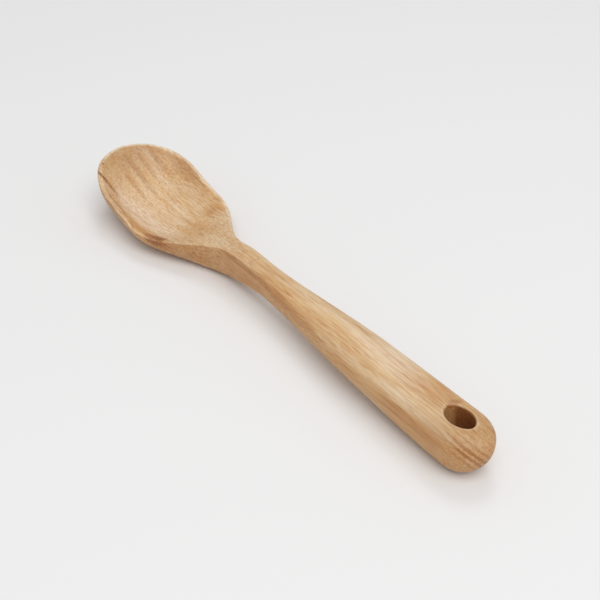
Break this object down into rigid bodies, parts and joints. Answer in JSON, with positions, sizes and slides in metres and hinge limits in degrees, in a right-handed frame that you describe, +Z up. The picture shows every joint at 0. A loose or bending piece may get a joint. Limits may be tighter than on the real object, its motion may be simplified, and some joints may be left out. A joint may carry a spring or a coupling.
{
  "type": "wooden spoon",
  "caption": "Wooden cooking spoon carved from one piece of beech: a deep oval bowl runs out into a slim neck and a thick round handle with an oval hanging hole.",
  "frame": {"origin": "on the table, under the middle of the spoon's length and width", "axes": "+X from the tip of the bowl to the butt of the handle, +Z up out of the open bowl, +Y across"},
  "size_m": [0.305, 0.0586, 0.0304],
  "materials": {
    "beech": "sanded and oiled, satin"
  },
  "bodies": {
    "root": {"spoon": "beech"}
  },
  "joints": []
}
